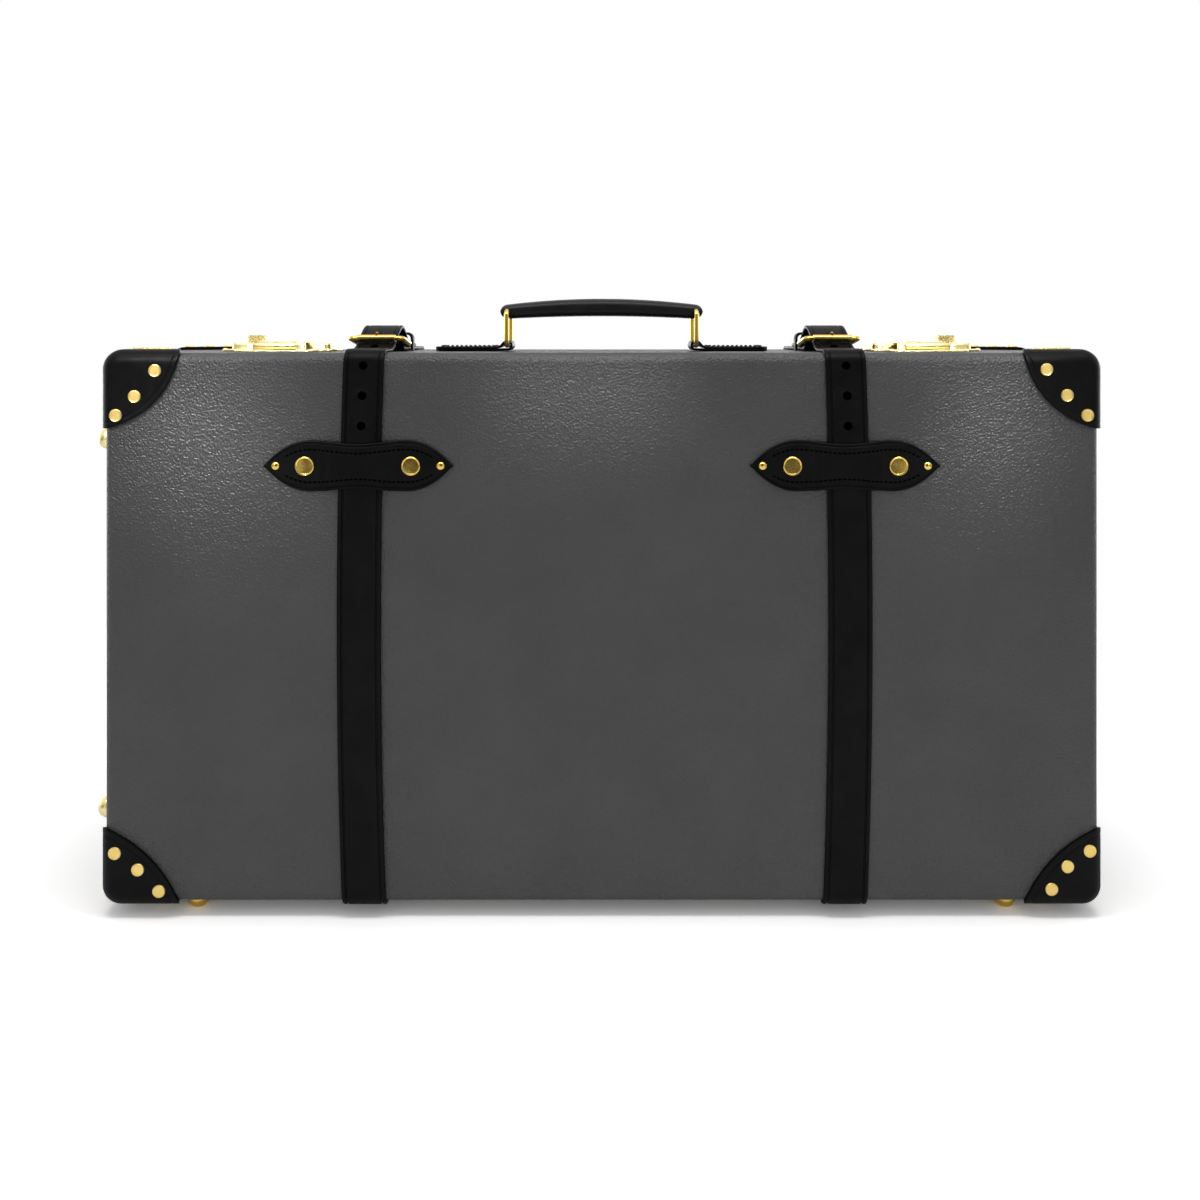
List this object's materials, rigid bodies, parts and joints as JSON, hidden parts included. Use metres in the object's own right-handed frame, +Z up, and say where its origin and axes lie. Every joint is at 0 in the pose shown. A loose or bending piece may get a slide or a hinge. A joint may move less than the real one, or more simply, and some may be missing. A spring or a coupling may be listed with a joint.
{
  "type": "rigid suitcase",
  "caption": "Upright rigid fibre suitcase with moulded leather corners, buckled leather straps, brass hasp locks, dome feet and a swinging leather handle; the lid is hinged along the bottom.",
  "frame": {"origin": "middle of the footprint, on the surface that the feet stand on", "axes": "+X across the case to its right, seen from the front; +Y from the front (the lid) to the back; +Z up, towards the handle"},
  "size_m": [0.854, 0.2122, 0.5231],
  "materials": {
    "fibre_board": "pebbled",
    "frame_wood": "plain",
    "lining_cloth": "woven",
    "black_leather": "smooth",
    "polished_brass": "polished"
  },
  "bodies": {
    "base": {"base_shell": "fibre_board", "base_frame": "frame_wood", "base_lining": "lining_cloth", "base_corner_top_left": "black_leather", "base_corner_top_right": "black_leather", "base_corner_bottom_left": "black_leather", "base_corner_bottom_right": "black_leather", "base_foot_left": "polished_brass", "base_foot_right": "polished_brass", "strap_back_left": "black_leather", "strap_back_right": "black_leather", "strap_loop_back_left": "black_leather", "strap_loop_back_right": "black_leather", "strap_keeper_left": "black_leather", "strap_keeper_right": "black_leather", "buckle_frame_left": "polished_brass", "buckle_frame_right": "polished_brass", "buckle_prong_left": "polished_brass", "buckle_prong_right": "polished_brass", "lock_case_left": "polished_brass", "lock_case_right": "polished_brass", "handle_chape_left": "black_leather", "handle_chape_right": "black_leather", "hinge_base_leaf_left": "polished_brass", "hinge_base_leaf_right": "polished_brass", "hinge_pin_left": "polished_brass", "hinge_pin_right": "polished_brass", "base_end_foot_high": "polished_brass", "base_end_foot_low": "polished_brass"},
    "lid": {"lid_shell": "fibre_board", "lid_lining": "lining_cloth", "lid_corner_top_left": "black_leather", "lid_corner_top_right": "black_leather", "lid_corner_bottom_left": "black_leather", "lid_corner_bottom_right": "black_leather", "lid_foot_left": "polished_brass", "lid_foot_right": "polished_brass", "strap_front_left": "black_leather", "strap_front_right": "black_leather", "strap_loop_front_left": "black_leather", "strap_loop_front_right": "black_leather", "lock_plate_left": "polished_brass", "lock_plate_right": "polished_brass", "hinge_lid_leaf_left": "polished_brass", "hinge_lid_leaf_right": "polished_brass", "lid_end_foot_high": "polished_brass", "lid_end_foot_low": "polished_brass"},
    "handle_ring_left": {"handle_ring_left": "polished_brass"},
    "handle_ring_right": {"handle_ring_right": "polished_brass"},
    "lock_hasp_left": {"lock_hasp_left": "polished_brass"},
    "lock_hasp_right": {"lock_hasp_right": "polished_brass"},
    "lock_slide_left": {"lock_slide_left": "polished_brass"},
    "lock_slide_right": {"lock_slide_right": "polished_brass"},
    "buckle_roller_left": {"buckle_roller_left": "polished_brass"},
    "buckle_roller_right": {"buckle_roller_right": "polished_brass"},
    "handle_grip": {"handle_grip": "black_leather"}
  },
  "joints": [
    {"name": "lid_hinge", "type": "hinge", "parent": "base", "child": "lid", "pos_m": [0.004, -0.036, 0.0077], "axis": [1, 0, 0], "range_deg": [0, 100], "deforming": ["strap_front_left", "strap_front_right"]},
    {"name": "handle_swing", "type": "hinge", "parent": "base", "child": "handle_ring_left", "pos_m": [-0.0815, -0.014, 0.48045], "axis": [0, 1, 0], "range_deg": [-65, 65]},
    {"name": "handle_ring_right_swing", "type": "hinge", "parent": "base", "child": "handle_ring_right", "pos_m": [0.0895, -0.014, 0.48045], "axis": [0, 1, 0], "range_deg": [-65, 65]},
    {"name": "handle_grip_swing", "type": "hinge", "parent": "handle_ring_left", "child": "handle_grip", "pos_m": [-0.0815, -0.014, 0.51125], "axis": [0, 1, 0], "range_deg": [-65, 65]},
    {"name": "lock_hasp_left_lift", "type": "hinge", "parent": "lid", "child": "lock_hasp_left", "pos_m": [-0.2795, -0.069, 0.4803], "axis": [1, 0, 0], "range_deg": [0, 100]},
    {"name": "lock_slide_left_push", "type": "slide", "parent": "base", "child": "lock_slide_left", "axis": [-1, 0, 0], "range_m": [0, 0.008], "stiffness_N_per_m": 120},
    {"name": "buckle_roller_left_turn", "type": "hinge", "parent": "base", "child": "buckle_roller_left", "pos_m": [-0.1957, -0.052, 0.487], "axis": [1, 0, 0], "continuous": true},
    {"name": "lock_hasp_right_lift", "type": "hinge", "parent": "lid", "child": "lock_hasp_right", "pos_m": [0.2875, -0.069, 0.4803], "axis": [1, 0, 0], "range_deg": [0, 100]},
    {"name": "lock_slide_right_push", "type": "slide", "parent": "base", "child": "lock_slide_right", "axis": [1, 0, 0], "range_m": [0, 0.008], "stiffness_N_per_m": 120},
    {"name": "buckle_roller_right_turn", "type": "hinge", "parent": "base", "child": "buckle_roller_right", "pos_m": [0.2087, -0.052, 0.487], "axis": [1, 0, 0], "continuous": true}
  ],
  "couplings": [
    {"joint": "handle_ring_right_swing", "follows": "handle_swing", "ratio": 1},
    {"joint": "handle_grip_swing", "follows": "handle_swing", "ratio": -1}
  ]
}
